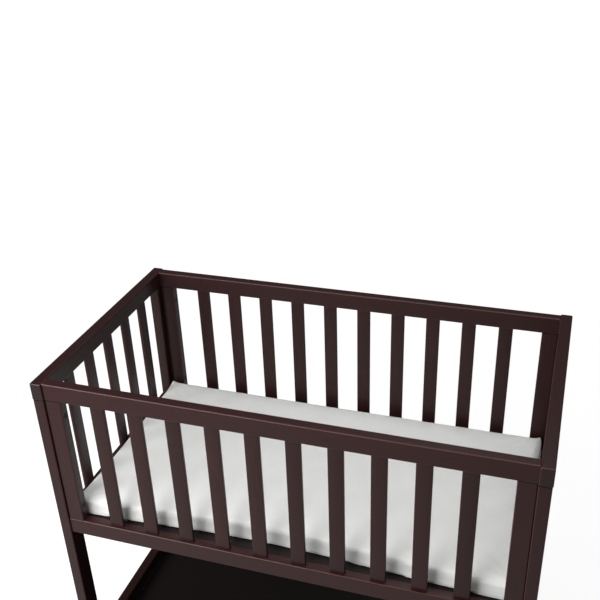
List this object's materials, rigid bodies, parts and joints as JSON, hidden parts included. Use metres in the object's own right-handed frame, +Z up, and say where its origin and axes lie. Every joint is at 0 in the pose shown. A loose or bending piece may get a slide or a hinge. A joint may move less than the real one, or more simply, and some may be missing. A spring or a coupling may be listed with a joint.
{
  "type": "bassinet",
  "caption": "Slatted wooden bassinet on straight legs, with a padded mattress, a low tray shelf, and swivel casters of which the front ones have foot brakes.",
  "frame": {"origin": "on the floor, under the middle of the bassinet", "axes": "+X along the bassinet to its right end, +Y from front to back, +Z up"},
  "size_m": [0.93, 0.51, 0.88],
  "materials": {
    "stained_timber": "dark brown stain under satin lacquer",
    "stained_board": "dark brown stain under satin lacquer, on board",
    "beech_dowel": "plain",
    "pad_cover": "soft off-white cover over foam",
    "black_nylon": "moulded, fine grain",
    "wheel_tread": "moulded tread, soft sheen",
    "zinc_steel": "zinc plated",
    "black_bolt": "black oxide"
  },
  "bodies": {
    "frame": {"back_bottom_rail": "stained_timber", "back_left_leg": "stained_timber", "back_left_stile": "stained_timber", "back_right_leg": "stained_timber", "back_right_stile": "stained_timber", "back_slats": "stained_timber", "back_top_rail": "stained_timber", "barrel_nuts": "zinc_steel", "caster_sockets": "black_nylon", "end_frame_dowels": "beech_dowel", "front_bottom_rail": "stained_timber", "front_left_leg": "stained_timber", "front_left_stile": "stained_timber", "front_right_leg": "stained_timber", "front_right_stile": "stained_timber", "front_slats": "stained_timber", "front_top_rail": "stained_timber", "left_lower_rail": "stained_timber", "left_shelf_rail": "stained_timber", "left_slats": "stained_timber", "left_top_rail": "stained_timber", "mattress_support": "stained_board", "panel_bolts": "black_bolt", "panel_dowels": "beech_dowel", "right_lower_rail": "stained_timber", "right_shelf_rail": "stained_timber", "right_slats": "stained_timber", "right_top_rail": "stained_timber", "shelf_back_rail": "stained_timber", "shelf_bolts": "black_bolt", "shelf_cleats": "stained_board", "shelf_front_rail": "stained_timber", "shelf_panel": "stained_board", "shelf_screws": "zinc_steel", "support_cleats": "stained_board", "support_screws": "zinc_steel", "threaded_inserts": "zinc_steel"},
    "mattress_pad": {"mattress_pad": "pad_cover"},
    "front_left_caster": {"front_left_caster_stem": "zinc_steel", "front_left_caster_fork": "black_nylon", "front_left_caster_axle": "zinc_steel"},
    "front_left_wheel": {"front_left_caster_hub": "black_nylon", "front_left_caster_tyre": "wheel_tread"},
    "front_left_pedal": {"front_left_brake_pedal": "black_nylon"},
    "front_right_caster": {"front_right_caster_stem": "zinc_steel", "front_right_caster_fork": "black_nylon", "front_right_caster_axle": "zinc_steel"},
    "front_right_wheel": {"front_right_caster_hub": "black_nylon", "front_right_caster_tyre": "wheel_tread"},
    "front_right_pedal": {"front_right_brake_pedal": "black_nylon"},
    "back_left_caster": {"back_left_caster_stem": "zinc_steel", "back_left_caster_fork": "black_nylon", "back_left_caster_axle": "zinc_steel"},
    "back_left_wheel": {"back_left_caster_hub": "black_nylon", "back_left_caster_tyre": "wheel_tread"},
    "back_right_caster": {"back_right_caster_stem": "zinc_steel", "back_right_caster_fork": "black_nylon", "back_right_caster_axle": "zinc_steel"},
    "back_right_wheel": {"back_right_caster_hub": "black_nylon", "back_right_caster_tyre": "wheel_tread"}
  },
  "joints": [
    {"name": "pad_lift", "type": "slide", "parent": "frame", "child": "mattress_pad", "axis": [0, 0, 1], "range_m": [0, 0.36]},
    {"name": "front_left_swivel", "type": "hinge", "parent": "frame", "child": "front_left_caster", "pos_m": [-0.453, -0.2355, 0.08], "axis": [0, 0, 1], "continuous": true},
    {"name": "front_left_roll", "type": "hinge", "parent": "front_left_caster", "child": "front_left_wheel", "pos_m": [-0.435, -0.2355, 0.025], "axis": [0, 1, 0], "continuous": true},
    {"name": "front_left_brake", "type": "hinge", "parent": "front_left_caster", "child": "front_left_pedal", "pos_m": [-0.423, -0.2355, 0.052], "axis": [0, 1, 0], "range_deg": [0, 20]},
    {"name": "front_right_swivel", "type": "hinge", "parent": "frame", "child": "front_right_caster", "pos_m": [0.453, -0.2355, 0.08], "axis": [0, 0, 1], "continuous": true},
    {"name": "front_right_roll", "type": "hinge", "parent": "front_right_caster", "child": "front_right_wheel", "pos_m": [0.435, -0.2355, 0.025], "axis": [0, 1, 0], "continuous": true},
    {"name": "front_right_brake", "type": "hinge", "parent": "front_right_caster", "child": "front_right_pedal", "pos_m": [0.423, -0.2355, 0.052], "axis": [0, -1, 0], "range_deg": [0, 20]},
    {"name": "back_left_swivel", "type": "hinge", "parent": "frame", "child": "back_left_caster", "pos_m": [-0.453, 0.2355, 0.08], "axis": [0, 0, 1], "continuous": true},
    {"name": "back_left_roll", "type": "hinge", "parent": "back_left_caster", "child": "back_left_wheel", "pos_m": [-0.435, 0.2355, 0.025], "axis": [0, 1, 0], "continuous": true},
    {"name": "back_right_swivel", "type": "hinge", "parent": "frame", "child": "back_right_caster", "pos_m": [0.453, 0.2355, 0.08], "axis": [0, 0, 1], "continuous": true},
    {"name": "back_right_roll", "type": "hinge", "parent": "back_right_caster", "child": "back_right_wheel", "pos_m": [0.435, 0.2355, 0.025], "axis": [0, 1, 0], "continuous": true}
  ]
}
